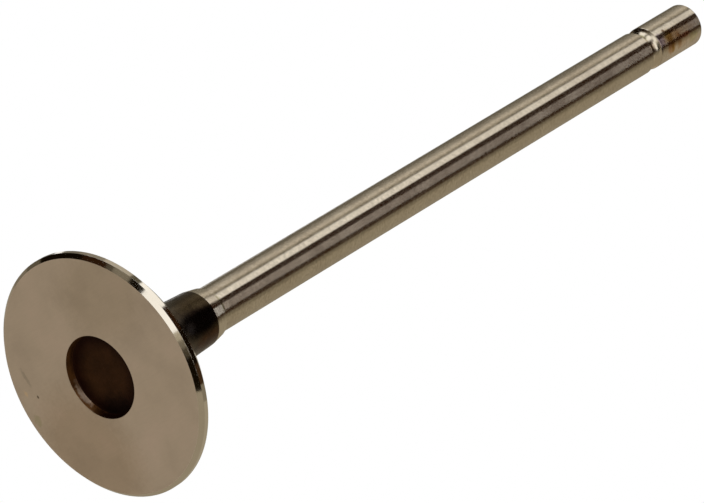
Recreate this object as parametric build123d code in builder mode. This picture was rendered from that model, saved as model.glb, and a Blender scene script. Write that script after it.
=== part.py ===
from build123d import *
import os
from math import cos, radians, sin, sqrt, tan

# Engine valve, forged in one piece, then turned and ground: a flat head with a dimple in its
# face, a conical seat, a tulip-shaped back, a forged neck, a ground stem and a round keeper
# groove below the tip. Sizes are in millimetres. The origin is the centre of the head's flat
# face and +Z runs up the stem, so the valve stands on its head.

# Overall
total_length = 162.5  # from the flat face to the tip

# Head
head_diameter = 41.5
face_chamfer = 0.65  # 45 degree break between the flat face and the margin
margin_height = 0.85  # plain land between the face chamfer and the seat
seat_angle = 45.0  # seat cone, from the plane of the face
seat_width = 3.0  # measured along the cone

# Dimple in the flat face
dimple_diameter = 14.0  # at its mouth
dimple_depth = 1.4
dimple_draft = 8.0  # slope of its wall, in degrees
dimple_floor_radius = 0.5
dimple_edge_break = 0.12

# Tulip, between the seat and the neck
back_angle = 15.0  # back of the head, from the plane of the face
tulip_radius = 17.0
tulip_straight = 0.5  # shortest straight stretch left at either end of its arc

# Forged neck
neck_end = 23.4  # height of its upper end above the flat face
neck_taper = 3.0  # half-angle, in degrees
neck_edge_radius = 2.0  # where the forging runs out into the turned shoulder

# Turned shoulder, between the neck and the stem
shoulder_length = 2.6
shoulder_taper = 10.5  # half-angle, in degrees
shoulder_step = 0.38  # how far its small end stands out above the stem
step_angle = 50.0  # slope of that step, in degrees
step_foot_radius = 0.2

# Stem
stem_diameter = 7.96
tip_chamfer = 0.4

# Keeper groove
groove_to_tip = 14.2  # from the middle of the groove
groove_radius = 1.4
groove_depth = 1.0
groove_edge_radius = 0.2

# Heights and radii that follow from the sizes above
head_radius = head_diameter / 2
stem_radius = stem_diameter / 2
shoulder_radius = stem_radius + shoulder_step
neck_radius = shoulder_radius + shoulder_length * tan(radians(shoulder_taper))
shoulder_end = neck_end + shoulder_length
step_end = shoulder_end + shoulder_step / tan(radians(step_angle))
seat_start = face_chamfer + margin_height
seat_end = seat_start + seat_width * sin(radians(seat_angle))
seat_end_radius = head_radius - seat_width * cos(radians(seat_angle))

# The back of the head and the side of the neck are two straight lines that would cross at the
# root of the tulip. The tulip is the arc that blends them.
neck_slope = tan(radians(neck_taper))
back_slope = tan(radians(back_angle))
root_drop = neck_end - seat_end - (seat_end_radius - neck_radius) * back_slope
root_drop /= 1 - neck_slope * back_slope
root_radius = neck_radius + root_drop * neck_slope
root_height = neck_end - root_drop

# The tulip's arc may reach as far as the seat on one side, and as far as the rounded upper edge
# of the neck on the other, with a short straight stretch left at both ends
tulip_turn = radians(90 - back_angle - neck_taper)
neck_edge_turn = radians(abs(shoulder_taper - neck_taper))
back_length = (seat_end_radius - root_radius) / cos(radians(back_angle))
neck_length = root_drop / cos(radians(neck_taper)) - neck_edge_radius * tan(neck_edge_turn / 2)
tulip_limit = (min(back_length, neck_length) - tulip_straight) / tan(tulip_turn / 2)

groove_height = total_length - groove_to_tip
groove_centre = stem_radius - groove_depth + groove_radius
groove_half_width = sqrt(groove_radius**2 - (groove_radius - groove_depth) ** 2)

dimple_radius = dimple_diameter / 2
dimple_floor = dimple_radius - dimple_depth * tan(radians(dimple_draft))


def corner(sketch, radius, height):
    """The sketch's corner at this radius and height."""
    return sketch.vertices().sort_by_distance((radius, height))[0]


with BuildPart() as valve:
    # Half section of the turned blank, from the flat face up to the tip
    with BuildSketch(Plane.XZ) as section:
        with BuildLine():
            Polyline(
                (0, 0),
                (head_radius - face_chamfer, 0),
                (head_radius, face_chamfer),
                (head_radius, seat_start),
                (seat_end_radius, seat_end),
                (root_radius, root_height),
                (neck_radius, neck_end),
                (shoulder_radius, shoulder_end),
                (stem_radius, step_end),
                (stem_radius, total_length),
                (0, total_length),
                close=True,
            )
        make_face()
        fillet(corner(section, root_radius, root_height), min(tulip_radius, tulip_limit))
        fillet(corner(section, neck_radius, neck_end), neck_edge_radius)
        fillet(corner(section, stem_radius, step_end), step_foot_radius)
        chamfer(corner(section, stem_radius, total_length), tip_chamfer)

        # Keeper groove: a round tool plunged into the stem, with its two lips rounded
        with Locations((groove_centre, groove_height)):
            Circle(groove_radius, mode=Mode.SUBTRACT)
        fillet(corner(section, stem_radius, groove_height - groove_half_width), groove_edge_radius)
        fillet(corner(section, stem_radius, groove_height + groove_half_width), groove_edge_radius)
    revolve(axis=Axis.Z)

    # Dimple in the flat face, with a drafted wall and a rounded floor corner
    with BuildSketch(Plane.XZ) as dimple:
        with BuildLine():
            Polyline(
                (0, 0),
                (dimple_radius, 0),
                (dimple_floor, dimple_depth),
                (0, dimple_depth),
                close=True,
            )
        make_face()
        fillet(corner(dimple, dimple_floor, dimple_depth), dimple_floor_radius)
    revolve(axis=Axis.Z, mode=Mode.SUBTRACT)
    face_edges = valve.edges().filter_by(GeomType.CIRCLE).group_by(Axis.Z)[0]
    chamfer(face_edges.sort_by(SortBy.RADIUS)[0], dimple_edge_break)

valve.part.label = "valve"

os.makedirs("parts", exist_ok=True)
export_step(valve.part, "parts/valve.step")
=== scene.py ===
from math import acos, atan2, ceil, cos, degrees, pi, radians, sin, sqrt, tan

import bpy
import numpy as np
from mathutils import Matrix, Vector, noise


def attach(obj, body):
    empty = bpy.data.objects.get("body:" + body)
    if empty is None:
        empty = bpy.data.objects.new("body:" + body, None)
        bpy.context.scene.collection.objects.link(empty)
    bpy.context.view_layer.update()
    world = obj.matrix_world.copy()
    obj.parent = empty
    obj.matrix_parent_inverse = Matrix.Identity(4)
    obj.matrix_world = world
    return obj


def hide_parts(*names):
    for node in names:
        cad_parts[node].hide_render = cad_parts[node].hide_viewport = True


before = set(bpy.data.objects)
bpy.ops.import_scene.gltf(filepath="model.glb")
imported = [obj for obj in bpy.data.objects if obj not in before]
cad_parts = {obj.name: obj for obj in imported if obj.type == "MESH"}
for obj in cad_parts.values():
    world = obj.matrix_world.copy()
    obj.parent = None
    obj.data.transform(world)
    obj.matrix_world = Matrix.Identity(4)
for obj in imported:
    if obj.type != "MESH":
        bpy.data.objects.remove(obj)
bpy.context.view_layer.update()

MM = 0.001

# Sizes of the valve, in millimetres and degrees, as in the source of the part
TOTAL_LENGTH = 162.5
HEAD_RADIUS = 20.75
FACE_CHAMFER = 0.65
MARGIN_HEIGHT = 0.85
SEAT_ANGLE = 45.0
SEAT_WIDTH = 3.0
DIMPLE_RADIUS = 7.0
DIMPLE_DEPTH = 1.4
DIMPLE_DRAFT = 8.0
DIMPLE_FLOOR_RADIUS = 0.5
BACK_ANGLE = 15.0
TULIP_RADIUS = 17.0
NECK_END = 23.4
NECK_TAPER = 3.0
NECK_EDGE_RADIUS = 2.0
SHOULDER_LENGTH = 2.6
SHOULDER_TAPER = 10.5
SHOULDER_STEP = 0.38
STEP_ANGLE = 50.0
STEP_FOOT_RADIUS = 0.2
STEM_RADIUS = 3.98
TIP_CHAMFER = 0.4
GROOVE_TO_TIP = 14.2
GROOVE_RADIUS = 1.4
GROOVE_DEPTH = 1.0
GROOVE_LIP_RADIUS = 0.2

# Small edge rounds that only the visual mesh has, in millimetres
MOUTH_ROUND = 0.16
RIM_ROUND = 0.02
SEAT_FOOT_ROUND = 0.2
STEP_ROUND = 0.08
TIP_ROUND = 0.08

# Mesh fineness
AROUND = 384
ARC_TURN = 12.0  # most degrees of turn in one facet of a round
ARC_STRETCH = 1.3  # longest facet of a round, against its zone's step
# The longest step along each zone of the section, in millimetres
RUN_STEP = {"dimple": 0.35, "wall": 0.4, "face": 1.0, "rim": 0.5, "forged": 0.35, "bright": 0.6,
            "stem": 3.0, "groove": 0.3, "tip": 0.8}


# ---------------------------------------------------------------- shape

def corners():
    """The half section from the dimple's middle to the tip's middle, as sharp corners: radius, height,
    round at the corner, and the zone of the run that leads to it. All in millimetres."""
    seat_start = FACE_CHAMFER + MARGIN_HEIGHT
    seat_end = seat_start + SEAT_WIDTH * sin(radians(SEAT_ANGLE))
    seat_end_radius = HEAD_RADIUS - SEAT_WIDTH * cos(radians(SEAT_ANGLE))
    shoulder_radius = STEM_RADIUS + SHOULDER_STEP
    neck_radius = shoulder_radius + SHOULDER_LENGTH * tan(radians(SHOULDER_TAPER))
    shoulder_end = NECK_END + SHOULDER_LENGTH
    step_end = shoulder_end + SHOULDER_STEP / tan(radians(STEP_ANGLE))
    neck_slope, back_slope = tan(radians(NECK_TAPER)), tan(radians(BACK_ANGLE))
    root_drop = NECK_END - seat_end - (seat_end_radius - neck_radius) * back_slope
    root_drop /= 1 - neck_slope * back_slope
    groove = TOTAL_LENGTH - GROOVE_TO_TIP
    lip_reach = GROOVE_RADIUS + GROOVE_LIP_RADIUS
    lip_turn = acos((GROOVE_RADIUS - GROOVE_DEPTH + GROOVE_LIP_RADIUS) / lip_reach)
    lip = lip_reach * sin(lip_turn) - GROOVE_LIP_RADIUS * tan(lip_turn / 2)
    groove_root = STEM_RADIUS - lip * tan(lip_turn)
    return [
        (0, DIMPLE_DEPTH, 0, "dimple"),
        (DIMPLE_RADIUS - DIMPLE_DEPTH * tan(radians(DIMPLE_DRAFT)), DIMPLE_DEPTH,
         DIMPLE_FLOOR_RADIUS, "dimple"),
        (DIMPLE_RADIUS, 0, MOUTH_ROUND, "wall"),
        (HEAD_RADIUS - FACE_CHAMFER, 0, RIM_ROUND, "face"),
        (HEAD_RADIUS, FACE_CHAMFER, RIM_ROUND, "rim"),
        (HEAD_RADIUS, seat_start, RIM_ROUND, "rim"),
        (seat_end_radius, seat_end, SEAT_FOOT_ROUND, "rim"),
        (neck_radius + root_drop * neck_slope, NECK_END - root_drop, TULIP_RADIUS, "forged"),
        (neck_radius, NECK_END, NECK_EDGE_RADIUS, "forged"),
        (shoulder_radius, shoulder_end, STEP_ROUND, "bright"),
        (STEM_RADIUS, step_end, STEP_FOOT_RADIUS, "bright"),
        (STEM_RADIUS, groove - lip, GROOVE_LIP_RADIUS, "stem"),
        (groove_root, groove, GROOVE_RADIUS, "groove"),
        (STEM_RADIUS, groove + lip, GROOVE_LIP_RADIUS, "groove"),
        (STEM_RADIUS, TOTAL_LENGTH - TIP_CHAMFER, TIP_ROUND, "tip"),
        (STEM_RADIUS - TIP_CHAMFER, TOTAL_LENGTH, TIP_ROUND, "tip"),
        (0, TOTAL_LENGTH, 0, "tip"),
    ]


def section():
    """Points along the rounded section: radius, height, direction of the run in radians, and zone."""
    made = []
    points = corners()
    heading = [atan2(b[1] - a[1], b[0] - a[0]) for a, b in zip(points, points[1:])]
    start = Vector(points[0][:2])
    for i, (corner, zone) in enumerate((Vector(p[:2]), p[3]) for p in points[1:]):
        last = i == len(points) - 2
        turn = 0 if last else (heading[i + 1] - heading[i] + pi) % (2 * pi) - pi
        side = 1 if turn > 0 else -1
        size = points[i + 1][2]
        direction = Vector((cos(heading[i]), sin(heading[i])))
        end = corner - direction * size * tan(abs(turn) / 2)
        step = RUN_STEP[zone]
        count = max(1, ceil((end - start).length / step))
        made += [(*start.lerp(end, k / count), heading[i], zone) for k in range(count)]
        if last:
            made.append((*end, heading[i], zone))
            break
        centre = end + Vector((-direction.y, direction.x)) * size * side
        longest = ARC_STRETCH * step
        facets = max(2, ceil(degrees(abs(turn)) / ARC_TURN), ceil(abs(turn) * size / longest))
        next_zone = points[i + 2][3]
        for k in range(facets):
            a = heading[i] + turn * k / facets
            at = centre + Vector((sin(a), -cos(a))) * size * side
            early = zone == "forged" or k < facets / 2 and next_zone not in ("rim", "tip")
            made.append((*at, a, zone if early else next_zone))
        start = centre + Vector((sin(heading[i + 1]), -cos(heading[i + 1]))) * size * side
    return made


RELIEF = {"forged": (0.03, 1.1), "dimple": (0.035, 0.7)}  # height and size of the lumps, in millimetres
RELIEF_FADE = 3  # rows over which the relief fades at the end of its zone
LUMP_SHAPE = (0.9, 2.1, 3)  # fractal increment, lacunarity and octaves


def relief(points, zones):
    """How far each point of the grid is pushed along its normal by the forged skin, in millimetres."""
    push = np.zeros(points.shape[:2])
    for i, zone in enumerate(zones):
        if zone in RELIEF:
            height, size = RELIEF[zone]
            near = zones[max(0, i - RELIEF_FADE):i + RELIEF_FADE + 1]
            inside = near.count(zone) / len(near)
            for j in range(AROUND):
                at = Vector(points[i, j]) / size
                push[i, j] = -height * inside * (0.5 + 0.5 * noise.fractal(at, *LUMP_SHAPE))
    return push


LEAST_RADIUS = 0.2  # in millimetres: nearer the axis, the relief's slope across is read as if here


def surface(rows):
    """The turned grid of points, in metres, and its exact normals: a row for each point of the section."""
    radius, height, heading = (np.array([r[k] for r in rows]) for k in range(3))
    angle = np.arange(AROUND) * 2 * pi / AROUND
    ring = np.stack([np.cos(angle), np.sin(angle), np.zeros(AROUND)], 1)
    up = np.array([0.0, 0.0, 1.0])
    points = radius[:, None, None] * ring + height[:, None, None] * up
    normals = np.sin(heading)[:, None, None] * ring - np.cos(heading)[:, None, None] * up
    along = np.cos(heading)[:, None, None] * ring + np.sin(heading)[:, None, None] * up
    across = np.stack([-np.sin(angle), np.cos(angle), np.zeros(AROUND)], 1)
    push = relief(points, [r[3] for r in rows])
    run = np.concatenate([[0], np.cumsum(np.hypot(np.diff(radius), np.diff(height)))])
    slope_along = np.gradient(push, run, axis=0)
    slope_across = (np.roll(push, -1, 1) - np.roll(push, 1, 1)) / (
        4 * pi / AROUND * np.maximum(radius, LEAST_RADIUS)[:, None])
    shaded = normals - slope_along[:, :, None] * along - slope_across[:, :, None] * across
    shaded /= np.linalg.norm(shaded, axis=2, keepdims=True)
    return (points + push[:, :, None] * normals) * MM, shaded


def skin(zones):
    """Faces over the grid's rows, closed by a fan at each pole, and each face's zone."""
    rings = len(zones) - 2
    bottom, top = rings * AROUND, rings * AROUND + 1
    turn = [(j, (j + 1) % AROUND) for j in range(AROUND)]
    faces, names = [], []
    for i in range(rings - 1):
        low, high = i * AROUND, (i + 1) * AROUND
        faces += [(low + j, low + k, high + k, high + j) for j, k in turn]
        names += [zones[i + 1]] * AROUND
    last = (rings - 1) * AROUND
    for j, k in turn:
        faces += [(bottom, k, j), (top, last + j, last + k)]
        names += ["dimple", "tip"]
    return faces, names


def valve_mesh():
    """The valve as one closed turned mesh with exact normals, and a forged skin where it isn't machined."""
    rows = section()
    points, normals = surface(rows)
    faces, names = skin([r[3] for r in rows])
    verts = np.concatenate([points[1:-1].reshape(-1, 3), points[:1].mean(1), points[-1:].mean(1)])
    shading = np.concatenate([normals[1:-1].reshape(-1, 3), [[0.0, 0.0, -1.0], [0.0, 0.0, 1.0]]])
    mesh = bpy.data.meshes.new("engine_valve")
    mesh.from_pydata(verts.tolist(), [], faces)
    mesh.polygons.foreach_set("use_smooth", [True] * len(faces))
    mesh.update()
    mesh.normals_split_custom_set_from_vertices(shading.tolist())
    return mesh, names


def add_object(name, data):
    made = bpy.data.objects.new(name, data)
    bpy.context.scene.collection.objects.link(made)
    return made


# ---------------------------------------------------------------- materials

SPOT_EDGE = [(0.55, 1.0), (1.0, 0.0)]  # how a patch fades, from its middle to its rim


class Nodes:
    """A short way to write one material's nodes. Colours are linear."""

    def __init__(self, name):
        self.material = bpy.data.materials.new(name)
        self.material.use_nodes = True
        self.tree = self.material.node_tree
        self.shader = self.tree.nodes["Principled BSDF"]
        self.place = self.add("ShaderNodeTexCoord").outputs["Object"]

    def add(self, kind, **settings):
        node = self.tree.nodes.new(kind)
        for key, value in settings.items():
            setattr(node, key, value)
        return node

    def link(self, output, node, name):
        self.tree.links.new(output, node.inputs[name])

    def scaled(self, x, y, z):
        """Object coordinates, in features per metre along each axis."""
        node = self.add("ShaderNodeMapping")
        node.inputs["Scale"].default_value = (x, y, z)
        self.link(self.place, node, "Vector")
        return node.outputs["Vector"]

    def noise(self, vector, detail, rough=0.55):
        node = self.add("ShaderNodeTexNoise")
        node.inputs["Scale"].default_value = 1.0
        node.inputs["Detail"].default_value = detail
        node.inputs["Roughness"].default_value = rough
        self.link(vector, node, "Vector")
        return node.outputs["Fac"]

    def ramp(self, value, stops):
        """Stops are (position, grey or colour)."""
        node = self.add("ShaderNodeValToRGB")
        ramp = node.color_ramp
        while len(ramp.elements) < len(stops):
            ramp.elements.new(0.5)
        for element, (position, colour) in zip(ramp.elements, stops):
            element.position = position
            rgb = colour if isinstance(colour, tuple) else (colour,) * 3
            element.color = (*rgb, 1.0)
        self.link(value, node, "Fac")
        return node.outputs["Color"]

    def math(self, operation, *values):
        """Each value is a socket or a number."""
        node = self.add("ShaderNodeMath", operation=operation)
        for socket, value in zip(node.inputs, values):
            if isinstance(value, (int, float)):
                socket.default_value = value
            else:
                self.tree.links.new(value, socket)
        return node.outputs[0]

    def mix(self, factor, a, b, blend="MIX"):
        """Each of factor, a and b is a socket, a number or a colour."""
        node = self.add("ShaderNodeMix", data_type="RGBA", blend_type=blend)
        for name, value in (("Factor", factor), ("A", a), ("B", b)):
            socket = next(s for s in node.inputs if s.name == name and s.enabled)
            if isinstance(value, tuple):
                socket.default_value = (*value, 1.0)
            elif isinstance(value, (int, float)):
                socket.default_value = value
            else:
                self.tree.links.new(value, socket)
        return next(s for s in node.outputs if s.name == "Result" and s.enabled)

    def bump(self, height, depth_mm):
        node = self.add("ShaderNodeBump")
        node.inputs["Strength"].default_value = 1.0
        node.inputs["Distance"].default_value = depth_mm * MM
        self.link(height, node, "Height")
        self.link(node.outputs["Normal"], self.shader, "Normal")

    def spot(self, centre, size, ragged):
        """A ragged patch, 1 in its middle and 0 outside: centre and half sizes in millimetres."""
        place = self.add("ShaderNodeMapping")
        place.inputs["Scale"].default_value = [1 / (d * MM) for d in size]
        place.inputs["Location"].default_value = [-c / d for c, d in zip(centre, size)]
        self.link(self.place, place, "Vector")
        far = self.add("ShaderNodeVectorMath", operation="LENGTH")
        self.link(place.outputs["Vector"], far, "Vector")
        edge = self.noise(self.scaled(1500, 1500, 1500), detail=4.0, rough=0.6)
        reach = self.math("MULTIPLY_ADD", edge, ragged, -ragged / 2)
        return self.ramp(self.math("ADD", far.outputs["Value"], reach), SPOT_EDGE)

    def marks(self, colour, spots):
        """Lays patches over a colour, for film, tint, wear, painted shade and painted highlights: each is
        centre, half sizes, tint and ragged.
        """
        for centre, size, tint, ragged in spots:
            place = self.spot(centre, size, ragged)
            colour = self.mix(place, colour, self.mix(1.0, colour, tint, "MULTIPLY"))
        return colour

    def outward(self, radius):
        """Distance from the valve's axis, as a share of a radius in millimetres."""
        share = 1 / (radius * MM)
        far = self.add("ShaderNodeVectorMath", operation="LENGTH")
        self.link(self.scaled(share, share, 0.0), far, "Vector")
        return far.outputs["Value"]

    def turned(self):
        """Scratches run round the axis, so highlights spread along it."""
        node = self.add("ShaderNodeTangent", direction_type="RADIAL", axis="Z")
        self.link(node.outputs["Tangent"], self.shader, "Tangent")
        self.shader.inputs["Anisotropic"].default_value = 1.0
        self.shader.inputs["Anisotropic Rotation"].default_value = 0.25  # a quarter of a turn

    def finish(self, colour, roughness, metallic=1.0):
        self.link(colour, self.shader, "Base Color")
        self.link(roughness, self.shader, "Roughness")
        self.shader.inputs["Metallic"].default_value = metallic
        return self.material


STEEL_LOW, STEEL, STEEL_HIGH = (0.70, 0.615, 0.485), (0.80, 0.705, 0.555), (0.86, 0.765, 0.615)


def on_stem(height, across):
    """A point of the stem's camera side: height, and how far across from its middle line to +X."""
    return across, -sqrt(STEM_RADIUS ** 2 - across ** 2), height


def ground_steel(name, spots, rough):
    """Hard, bright steel, ground crosswise, with fine short flecks round the stem and a faint cloudy film."""
    n = Nodes(name)
    flecks = n.noise(n.scaled(900, 900, 5200), detail=3.0, rough=0.6)
    grain = n.noise(n.scaled(2300, 2300, 2300), detail=2.0, rough=0.7)
    clouds = n.noise(n.scaled(160, 160, 260), detail=3.0)
    colour = n.ramp(flecks, [(0.3, STEEL_LOW), (0.5, STEEL), (0.7, STEEL_HIGH)])
    film = n.ramp(clouds, [(0.3, (0.90, 0.885, 0.88)), (0.6, 1.0)])
    speckle = n.ramp(grain, [(0.36, 0.87), (0.6, 1.02)])
    n.bump(flecks, 0.0002)
    n.turned()
    colour = n.mix(1.0, n.mix(1.0, colour, film, "MULTIPLY"), speckle, "MULTIPLY")
    return n.finish(n.marks(colour, spots), n.ramp(clouds, [(0.3, rough), (0.7, rough + 0.03)]))


# Wear seen on the flat face: centre and half sizes in millimetres, tint, and how ragged the patch is
FACE_MARKS = [
    ((10.0, 11.5, 0.0), (14.0, 12.0, 9.0), (0.87, 0.83, 0.78), 0.5),
    ((-11.0, -10.0, 0.0), (9.0, 11.0, 9.0), (0.90, 0.89, 0.86), 0.5),
    ((-2.4, 15.45, 0.0), (0.32, 0.24, 9.0), (0.25, 0.24, 0.22), 0.6),
    ((-6.0, 15.6, 0.0), (2.0, 0.45, 9.0), (0.80, 0.81, 0.80), 1.5),
    ((-3.8, 17.6, 0.0), (0.7, 0.4, 9.0), (1.16, 1.08, 0.92), 1.4),
    ((0.9, 18.5, 0.0), (1.3, 0.9, 9.0), (0.86, 0.90, 0.80), 1.6),
]


def ground_face():
    """The flat face: fine-ground steel with faint streaks, a soft patchy sheen and a few small marks."""
    n = Nodes("ground_face")
    patches = n.noise(n.scaled(110, 110, 110), detail=5.0)
    streaks = n.noise(n.scaled(2600, 420, 600), detail=3.0)
    colour = n.ramp(patches, [(0.3, (0.575, 0.495, 0.395)), (0.5, (0.635, 0.55, 0.44)),
                              (0.7, (0.665, 0.565, 0.46))])
    shade = n.ramp(streaks, [(0.35, 0.97), (0.65, 1.0)])
    n.bump(streaks, 0.0012)
    colour = n.marks(n.mix(1.0, colour, shade, "MULTIPLY"), FACE_MARKS)
    return n.finish(colour, n.ramp(patches, [(0.3, 0.36), (0.7, 0.30)]))


def turned_bright():
    """Chamfer, margin and seat: smooth turned or ground steel, brighter than the rest."""
    n = Nodes("turned_bright")
    clouds = n.noise(n.scaled(140, 140, 140), detail=3.0)
    colour = n.ramp(clouds, [(0.3, (0.88, 0.80, 0.67)), (0.7, (0.94, 0.87, 0.75))])
    return n.finish(colour, n.ramp(clouds, [(0.3, 0.10), (0.7, 0.08)]))


# Painted shade in the groove's root, which dims part of the highlights it reflects, as FACE_MARKS
GROOVE_ROOT_SHADE = [
    (on_stem(148.1, 0.6), (2.2, 3.0, 1.0), (0.24, 0.21, 0.17), 0.5),
    (on_stem(148.0, -2.4), (1.6, 3.0, 1.0), (0.62, 0.66, 0.52), 0.5),
]


def turned_groove():
    """The keeper groove: form-turned, a little softer than the rim, with painted shade in its root."""
    n = Nodes("turned_groove")
    clouds = n.noise(n.scaled(400, 400, 400), detail=3.0)
    n.bump(clouds, 0.002)
    colour = n.marks(n.ramp(clouds, [(0.3, STEEL), (0.7, STEEL_HIGH)]), GROOVE_ROOT_SHADE)
    return n.finish(colour, n.ramp(clouds, [(0.3, 0.26), (0.7, 0.20)]))


# A painted shade line on the step above the shoulder, which dims the reflections there, as FACE_MARKS
STEP_SHADE_LINE = [
    (on_stem(26.35, -0.5), (1.7, 2.6, 0.55), (0.62, 0.62, 0.52), 0.4),
    (on_stem(26.2, 0.7), (1.1, 2.2, 0.45), (0.72, 0.74, 0.66), 0.4),
]


def turned_shoulder():
    """The shoulder and step above the forged neck, with crosswise turning lines and a painted shade line on
    the step.
    """
    n = Nodes("turned_shoulder")
    lines = n.noise(n.scaled(300, 300, 5200), detail=2.0)
    colour = n.ramp(lines, [(0.3, STEEL_LOW), (0.7, STEEL_HIGH)])
    n.bump(lines, 0.0005)
    n.turned()
    return n.finish(n.marks(colour, STEP_SHADE_LINE), n.ramp(lines, [(0.3, 0.20), (0.7, 0.16)]))


# Painted shade on the neck's camera side, which darkens its reflection there, and a brown tint beside it, as
# FACE_MARKS
NECK_SHADE_AND_TINT = [
    ((0.5, -4.9, 19.5), (3.0, 3.5, 6.5), (0.16, 0.12, 0.14), 0.5),
    ((4.0, -2.6, 21.0), (2.8, 3.2, 4.5), (0.96, 0.58, 0.28), 0.6),
]


def forged_skin():
    """Dark scaled skin of the forging, nearly black with an olive-brown bloom, and painted shade on its
    camera side.
    """
    n = Nodes("forged_skin")
    bloom = n.noise(n.scaled(420, 420, 420), detail=5.0, rough=0.6)
    grain = n.noise(n.scaled(2600, 2600, 2600), detail=3.0)
    colour = n.ramp(bloom, [(0.35, (0.045, 0.029, 0.012)), (0.5, (0.072, 0.048, 0.022)),
                            (0.68, (0.10, 0.072, 0.035))])
    n.bump(grain, 0.004)
    return n.finish(n.marks(colour, NECK_SHADE_AND_TINT), n.ramp(grain, [(0.3, 0.30), (0.7, 0.24)]))


SOOT_SHEEN = 0.05  # the dimple is sooty, so it reflects little

# Painted shade in the dimple's corner, as FACE_MARKS
DIMPLE_CORNER_SHADE = [
    ((6.2, 2.2, 1.2), (3.8, 4.8, 3.0), (0.38, 0.36, 0.36), 0.7),
]


def dimple_skin():
    """Rough unmachined floor of the dimple, brown-black, with painted shade towards its corner."""
    n = Nodes("dimple_skin")
    bloom = n.noise(n.scaled(500, 500, 500), detail=5.0, rough=0.6)
    grain = n.noise(n.scaled(3200, 3200, 3200), detail=3.0)
    colour = n.ramp(bloom, [(0.3, (0.018, 0.0062, 0.0011)), (0.7, (0.031, 0.011, 0.0025))])
    # painted shade: darker towards the dimple's corner, where the wall meets the floor
    corner = n.ramp(n.outward(DIMPLE_RADIUS), [(0.55, 1.0), (0.86, (0.42, 0.28, 0.25))])
    n.bump(grain, 0.06)
    n.shader.inputs["Specular IOR Level"].default_value = SOOT_SHEEN
    colour = n.marks(n.mix(1.0, colour, corner, "MULTIPLY"), DIMPLE_CORNER_SHADE)
    return n.finish(colour, n.ramp(grain, [(0.3, 0.75), (0.7, 0.6)]), metallic=0.0)


# A painted highlight on the dimple's wall at +Y, and painted shade on its lower part at -X and on its +X
# side, as FACE_MARKS
WALL_PAINTED_LIGHT = [
    ((-6.0, 3.0, 1.5), (9.0, 9.0, 0.9), (0.46, 0.40, 0.42), 0.6),
    ((1.8, 6.7, 0.4), (3.0, 2.6, 1.3), (2.2, 2.6, 3.3), 0.9),
    ((1.0, 6.9, 1.0), (3.0, 2.4, 0.8), (2.7, 4.4, 9.8), 1.1),
    ((6.6, 2.2, 0.7), (4.4, 4.6, 3.0), (0.17, 0.08, 0.10), 0.6),
]


def dimple_wall():
    """Side of the dimple: brown, with a painted highlight at +Y and painted shade on its sides."""
    n = Nodes("dimple_wall")
    clean = n.noise(n.scaled(400, 400, 600), detail=4.0)
    colour = n.ramp(clean, [(0.35, (0.044, 0.016, 0.004)), (0.65, (0.072, 0.027, 0.007))])
    n.bump(clean, 0.02)
    n.shader.inputs["Specular IOR Level"].default_value = SOOT_SHEEN
    return n.finish(n.marks(colour, WALL_PAINTED_LIGHT), n.ramp(clean, [(0.3, 0.7), (0.7, 0.55)]), metallic=0.2)


# Heat tint and film on the end above the groove, and painted shade that dims the reflections on the groove's
# upper lip and just above it, as FACE_MARKS
TIP_TINT_AND_SHADE = [
    (on_stem(155.0, 1.3), (2.6, 3.0, 6.5), (0.96, 0.87, 0.78), 0.9),
    (on_stem(156.5, 3.4), (1.5, 2.6, 8.0), (1.20, 1.18, 1.22), 0.8),
    (on_stem(155.0, 0.3), (1.3, 1.5, 5.0), (0.90, 0.88, 0.80), 1.0),
    (on_stem(153.8, 0.9), (1.9, 2.2, 2.9), (0.84, 0.70, 0.55), 1.2),
    (on_stem(152.6, 0.3), (1.6, 2.0, 1.3), (0.60, 0.50, 0.24), 0.8),
    (on_stem(152.6, 2.3), (1.6, 2.2, 1.3), (0.80, 0.58, 0.40), 0.8),
    (on_stem(153.1, 2.3), (1.4, 2.0, 0.5), (0.80, 0.80, 0.45), 0.8),
    (on_stem(155.2, 1.9), (1.9, 2.2, 0.9), (0.74, 0.60, 0.46), 0.9),
    (on_stem(157.0, 1.55), (0.55, 0.6, 1.9), (0.85, 0.50, 0.34), 0.9),
    (on_stem(152.1, -1.05), (0.42, 0.6, 0.5), (0.38, 0.31, 0.27), 0.7),
    (on_stem(150.4, 0.3), (1.7, 1.8, 1.0), (0.74, 0.68, 0.84), 0.8),
    (on_stem(149.8, 0.8), (2.4, 2.4, 0.45), (0.62, 0.60, 0.64), 0.4),
    (on_stem(159.5, 2.6), (1.3, 1.6, 1.6), (0.92, 0.95, 0.80), 1.2),
]


def build_valve():
    """The one piece: the whole valve, with a finish for each zone of its section."""
    mesh, names = valve_mesh()
    valve = add_object("engine_valve", mesh)
    finishes = {
        "dimple": dimple_skin(),
        "wall": dimple_wall(),
        "face": ground_face(),
        "rim": turned_bright(),
        "forged": forged_skin(),
        "bright": turned_shoulder(),
        # the stem also carries the painted shade line on the step
        "stem": ground_steel("ground_stem", STEP_SHADE_LINE, rough=0.19),
        "groove": turned_groove(),
        "tip": ground_steel("tip_steel", TIP_TINT_AND_SHADE, rough=0.20),
    }
    for material in finishes.values():
        mesh.materials.append(material)
    slot = {name: index for index, name in enumerate(finishes)}
    mesh.polygons.foreach_set("material_index", [slot[name] for name in names])
    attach(valve, "root")
    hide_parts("valve")


# ---------------------------------------------------------------- studio

# Where the cards hang, in metres
CARD_DISTANCE = 2.0  # from the middle of the valve
CARD_GAP = 0.002  # from one card to the next
CARD_MIDDLE = 0.08  # height of the middle of the valve
CARD_TURN = 5  # degrees across for each facet of a card
CARD_FACETS = (6, 10)  # fewest across, and the number from bottom to top

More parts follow.
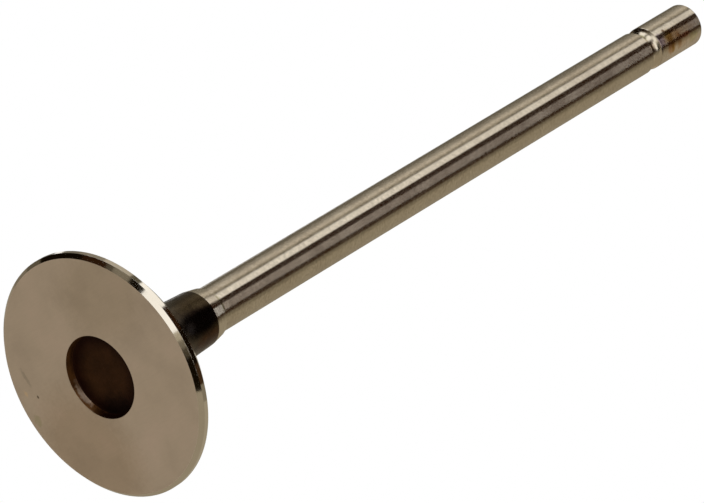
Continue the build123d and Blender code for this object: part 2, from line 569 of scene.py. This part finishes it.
BLACK = (0.005, 0.003, 0.001)
UMBER = (0.024, 0.010, 0.004)
RUST = (0.040, 0.021, 0.010)
DUSK = (0.09, 0.08, 0.055)
PALE = (0.55, 0.51, 0.445)
TAN = (0.33, 0.293, 0.225)
LOW_TAN = (0.285, 0.248, 0.187)
SHADOW_TAN = (0.20, 0.175, 0.13)
WALL = (0.47, 0.41, 0.345)
SHADE = (0.16, 0.145, 0.115)
DIM = (0.205, 0.188, 0.152)

# Cards and flags that the steel reflects: azimuth from the camera's side towards +X and elevation, both in
# degrees from and to, and the card's own brightness. Later cards hang in front of earlier ones. Where there
# is no card, the steel shows the white room.
CARDS = {
    "top_left_rear": ((-180, -130), (57, 90), DIM),
    "top_left": ((-130, -84), (57, 90), PALE),
    "top_left_bar": ((-84, -69), (57, 90), DUSK),
    "top_window": ((-69, -33), (57, 90), (0.70, 0.66, 0.62)),
    "top_flag_front": ((-33, 67), (57, 61), UMBER),
    "top_flag_left": ((-33, 1), (61, 66), UMBER),
    "top_sky": ((1, 48), (61, 66), (1.45, 1.52, 1.6)),
    "top_flag_right": ((48, 67), (61, 66), UMBER),
    "top_flag": ((-33, 67), (66, 90), UMBER),
    "top_right_near": ((67, 88), (57, 90), SHADOW_TAN),
    "top_right": ((88, 180), (57, 90), TAN),
    "high_left_rear": ((-180, -94), (43, 57), DIM),
    "rim_left_rear": ((-180, -154), (28, 43), SHADE),
    "rim_left": ((-144, -94), (28, 43), SHADE),
    "high_left": ((-94, -64), (28, 57), PALE),
    "high_left_bar": ((-64, -53), (28, 57), DUSK),
    "high_window": ((-53, -24), (50, 57), (0.38, 0.355, 0.33)),
    "high_flag_left": ((-24, 0), (30, 57), UMBER),
    "high_flag_middle": ((0, 33), (43, 57), (0.045, 0.012, 0.006)),
    "high_flag_foot": ((0, 33), (30, 43), BLACK),
    "high_flag_right": ((33, 52), (30, 57), RUST),
    "high_right_near": ((52, 68), (28, 57), SHADOW_TAN),
    "high_right": ((68, 180), (28, 57), TAN),
    "low_left_flag": ((-134, -99), (-78, 28), BLACK),
    "low_left_flag_foot": ((-103, -83), (-78, -18), UMBER),
    "low_left_corner": ((-158, -134), (-78, -20), BLACK),
    "low_left_sill": ((-83, -61), (-78, -28), (0.19, 0.168, 0.13)),
    "low_left_sill_foot": ((-83, -77), (-78, -28), (0.075, 0.063, 0.045)),
    "low_left_sill_end": ((-61.5, -46.5), (-60, -36), BLACK),
    "low_bar_left": ((-64, -54), (-36, 28), DUSK),
    "low_bar_middle": ((-24, -1), (-5, 30), UMBER),
    "low_bar_middle_foot": ((-25, -11), (-30, -5), UMBER),
    "low_rail": ((-48, -3), (-41, -37), TAN),
    "low_bar_right": ((29, 51), (-5, 30), UMBER),
    "low_bar_right_foot": ((40, 57), (-36, -5), UMBER),
    "low_centre": ((0, 9), (-78, -44), (0.38, 0.34, 0.26)),
    "low_centre_shade": ((9, 17), (-78, -44), (0.16, 0.14, 0.105)),
    "low_right_sill": ((17, 57), (-78, -36), BLACK),
    "low_right_sill_near": ((17, 26), (-78, -44), (0.055, 0.045, 0.03)),
    "low_right_near": ((51, 68), (-36, 28), SHADOW_TAN),
    "low_right_foot": ((57, 68), (-78, -36), LOW_TAN),
    "low_right": ((68, 134), (-78, 28), LOW_TAN),
    "rear_right": ((134, 180), (-20, 28), LOW_TAN),
    "rear_left": ((-180, -134), (-20, 28), LOW_TAN),
    "low_rear_right": ((134, 180), (-78, -20), WALL),
    "low_rear_left": ((-180, -158), (-78, -20), WALL),
    "underneath": ((-180, 180), (-90, -78), SHADE),
    "corner_left": ((-160, -134), (-20, 14), (0.18, 0.155, 0.115)),
    "corner_left_foot": ((-145, -134), (-20, 14), (0.10, 0.085, 0.06)),
    "margin_left": ((-124, -94), (39, 42), (0.30, 0.27, 0.225)),
    "margin_near": ((-94, -64), (39, 42), (0.34, 0.31, 0.26)),
    "middle_window": ((-1, 29), (-5, 30), (0.97, 0.89, 0.85)),
}


def card_mesh(name, distance, azimuth, elevation):
    """A curved sheet, part of a sphere about the middle of the valve."""
    across = max(CARD_FACETS[0], round((azimuth[1] - azimuth[0]) / CARD_TURN))
    up = CARD_FACETS[1]
    verts, faces = [], []
    for i in range(up + 1):
        e = radians(elevation[0] + (elevation[1] - elevation[0]) * i / up)
        out, height = distance * cos(e), distance * sin(e) + CARD_MIDDLE
        for j in range(across + 1):
            a = radians(azimuth[0] + (azimuth[1] - azimuth[0]) * j / across)
            verts.append((out * sin(a), -out * cos(a), height))
    for i in range(up):
        for j in range(across):
            k = i * (across + 1) + j
            faces.append((k, k + 1, k + across + 2, k + across + 1))
    mesh = bpy.data.meshes.new(name)
    mesh.from_pydata(verts, [], faces)
    return mesh


def glow(name, colour):
    """A material that only shines, and isn't sampled as a lamp."""
    material = bpy.data.materials.new(name)
    material.use_nodes = True
    material.cycles.emission_sampling = "NONE"
    tree = material.node_tree
    tree.nodes.clear()
    emission = tree.nodes.new("ShaderNodeEmission")
    emission.inputs["Color"].default_value = (*colour, 1.0)
    out = tree.nodes.new("ShaderNodeOutputMaterial")
    tree.links.new(emission.outputs[0], out.inputs["Surface"])
    return material


def card(name, distance, azimuth, elevation, colour):
    """One card, seen only by reflections."""
    mesh = card_mesh(name, distance, azimuth, elevation)
    mesh.materials.append(glow(name, colour))
    made = add_object(name, mesh)
    made.visible_camera = made.visible_diffuse = made.visible_shadow = False
    made.visible_transmission = made.visible_volume_scatter = False


FLOOR_RINGS = (19.9 * MM, 0.1, 0.5, 4.0)  # radii in metres, from the hole to the floor's edge
FLOOR_AROUND = 96
FLOOR_DROP = 0.06 * MM  # how far the floor lies under the head
FLOOR_COLOUR = (0.9, 0.9, 0.89)
FLOOR_ROUGHNESS = 0.9


def floor():
    """A pale floor with a hole that the head covers. It is one-sided, so the head's face shows from below."""
    verts, faces = [], []
    angles = [2 * pi * k / FLOOR_AROUND for k in range(FLOOR_AROUND)]
    for radius in FLOOR_RINGS:
        verts += [(radius * cos(a), radius * sin(a), -FLOOR_DROP) for a in angles]
    for ring in range(len(FLOOR_RINGS) - 1):
        for k in range(FLOOR_AROUND):
            a, b = ring * FLOOR_AROUND + k, ring * FLOOR_AROUND + (k + 1) % FLOOR_AROUND
            faces.append((a, a + FLOOR_AROUND, b + FLOOR_AROUND, b))
    mesh = bpy.data.meshes.new("floor")
    mesh.from_pydata(verts, [], faces)
    mesh.materials.append(floor_material())
    made = add_object("floor", mesh)
    made.visible_glossy = False


def floor_material():
    """Plain and pale from above, and clear from below."""
    n = Nodes("floor")
    n.shader.inputs["Base Color"].default_value = (*FLOOR_COLOUR, 1.0)
    n.shader.inputs["Roughness"].default_value = FLOOR_ROUGHNESS
    n.shader.inputs["Specular IOR Level"].default_value = 0.0
    through = n.add("ShaderNodeBsdfTransparent")
    sides = n.add("ShaderNodeMixShader")
    n.link(n.add("ShaderNodeNewGeometry").outputs["Backfacing"], sides, "Fac")
    n.tree.links.new(n.shader.outputs[0], sides.inputs[1])
    n.tree.links.new(through.outputs[0], sides.inputs[2])
    n.link(sides.outputs[0], n.tree.nodes["Material Output"], "Surface")
    return n.material


ROOM_LEVEL = 0.62  # the room's strength as light


def room():
    """A white room: strength 1 where the camera or a reflection sees it, and a plain level as light."""
    world = bpy.data.worlds.new("room")
    bpy.context.scene.world = world
    world.use_nodes = True
    world.cycles.sampling_method = "NONE"
    tree = world.node_tree
    path = tree.nodes.new("ShaderNodeLightPath")
    seen = path.outputs["Is Camera Ray"]
    for name in ("Is Glossy Ray", "Is Transmission Ray"):
        either = tree.nodes.new("ShaderNodeMath")
        either.operation = "MAXIMUM"
        tree.links.new(seen, either.inputs[0])
        tree.links.new(path.outputs[name], either.inputs[1])
        seen = either.outputs[0]
    level = tree.nodes.new("ShaderNodeMapRange")
    level.inputs["To Min"].default_value = ROOM_LEVEL
    level.inputs["To Max"].default_value = 1.0
    tree.links.new(seen, level.inputs["Value"])
    background = tree.nodes["Background"]
    background.inputs["Color"].default_value = (1.0, 1.0, 1.0, 1.0)
    tree.links.new(level.outputs["Result"], background.inputs["Strength"])


# Place, size and power of the lamps, in metres and watts
LAMPS = {
    "key": ((-1.2, -1.3, 1.9), 1.2, 22.0),
    "fill": ((1.5, -0.9, 1.2), 1.4, 8.0),
    "below": ((0.2, -1.2, -1.4), 1.2, 10.0),
}


def lamps():
    """Square lamps turned towards the middle of the valve. Reflections don't see them."""
    for name, (place, size, power) in LAMPS.items():
        light = bpy.data.lights.new(name, "AREA")
        light.size, light.energy = size, power
        lamp = add_object(name, light)
        lamp.location = place
        aim = Vector((0, 0, CARD_MIDDLE)) - Vector(place)
        lamp.rotation_euler = aim.to_track_quat("-Z", "Y").to_euler()
        lamp.visible_glossy = False


# ---------------------------------------------------------------- camera

FRAME_WIDTH, FRAME_HEIGHT = 704, 503
SENSOR = 36.0  # in millimetres
FOCAL = 4449.0  # focal length in pixels of that frame
FACE_PIXEL = (99.85, 377.47)  # where the middle of the head's face is seen
FACE_DEPTH = 0.6958  # how far that middle lies ahead of the camera, in metres
AXIS_TILT = 46.048  # angle between the valve's axis and the line of sight, in degrees
AXIS_ROLL = 31.388  # the axis's slope across the frame, in degrees
PICTURE_AXES = Matrix(((1, 0, 0), (0, -1, 0), (0, 0, -1)))  # right, down and ahead, in the camera's own axes


def camera():
    """The photo's camera, placed from where the face's middle is seen and how the valve's axis runs."""
    data = bpy.data.cameras.new("camera")
    data.sensor_width = SENSOR
    data.lens = FOCAL * SENSOR / FRAME_WIDTH
    made = add_object("camera", data)
    bpy.context.scene.camera = made
    tilt, roll = radians(AXIS_TILT), radians(AXIS_ROLL)
    right, down = FACE_PIXEL[0] - FRAME_WIDTH / 2, FACE_PIXEL[1] - FRAME_HEIGHT / 2
    face = Vector((right / FOCAL, down / FOCAL, 1)) * FACE_DEPTH
    axis = Vector((sin(tilt) * cos(roll), -sin(tilt) * sin(roll), cos(tilt)))
    back = -face - axis * (-face).dot(axis)
    y = -back.normalized()
    x = y.cross(axis)
    turn = Matrix((x, y, axis))
    made.matrix_world = Matrix.Translation(turn @ -face) @ (turn @ PICTURE_AXES).to_4x4()


scene = bpy.context.scene
scene.view_settings.view_transform = "Standard"
build_valve()
floor()
for card_index, (card_name, card_settings) in enumerate(CARDS.items()):
    card(card_name, CARD_DISTANCE - card_index * CARD_GAP, *card_settings)
room()
lamps()
camera()
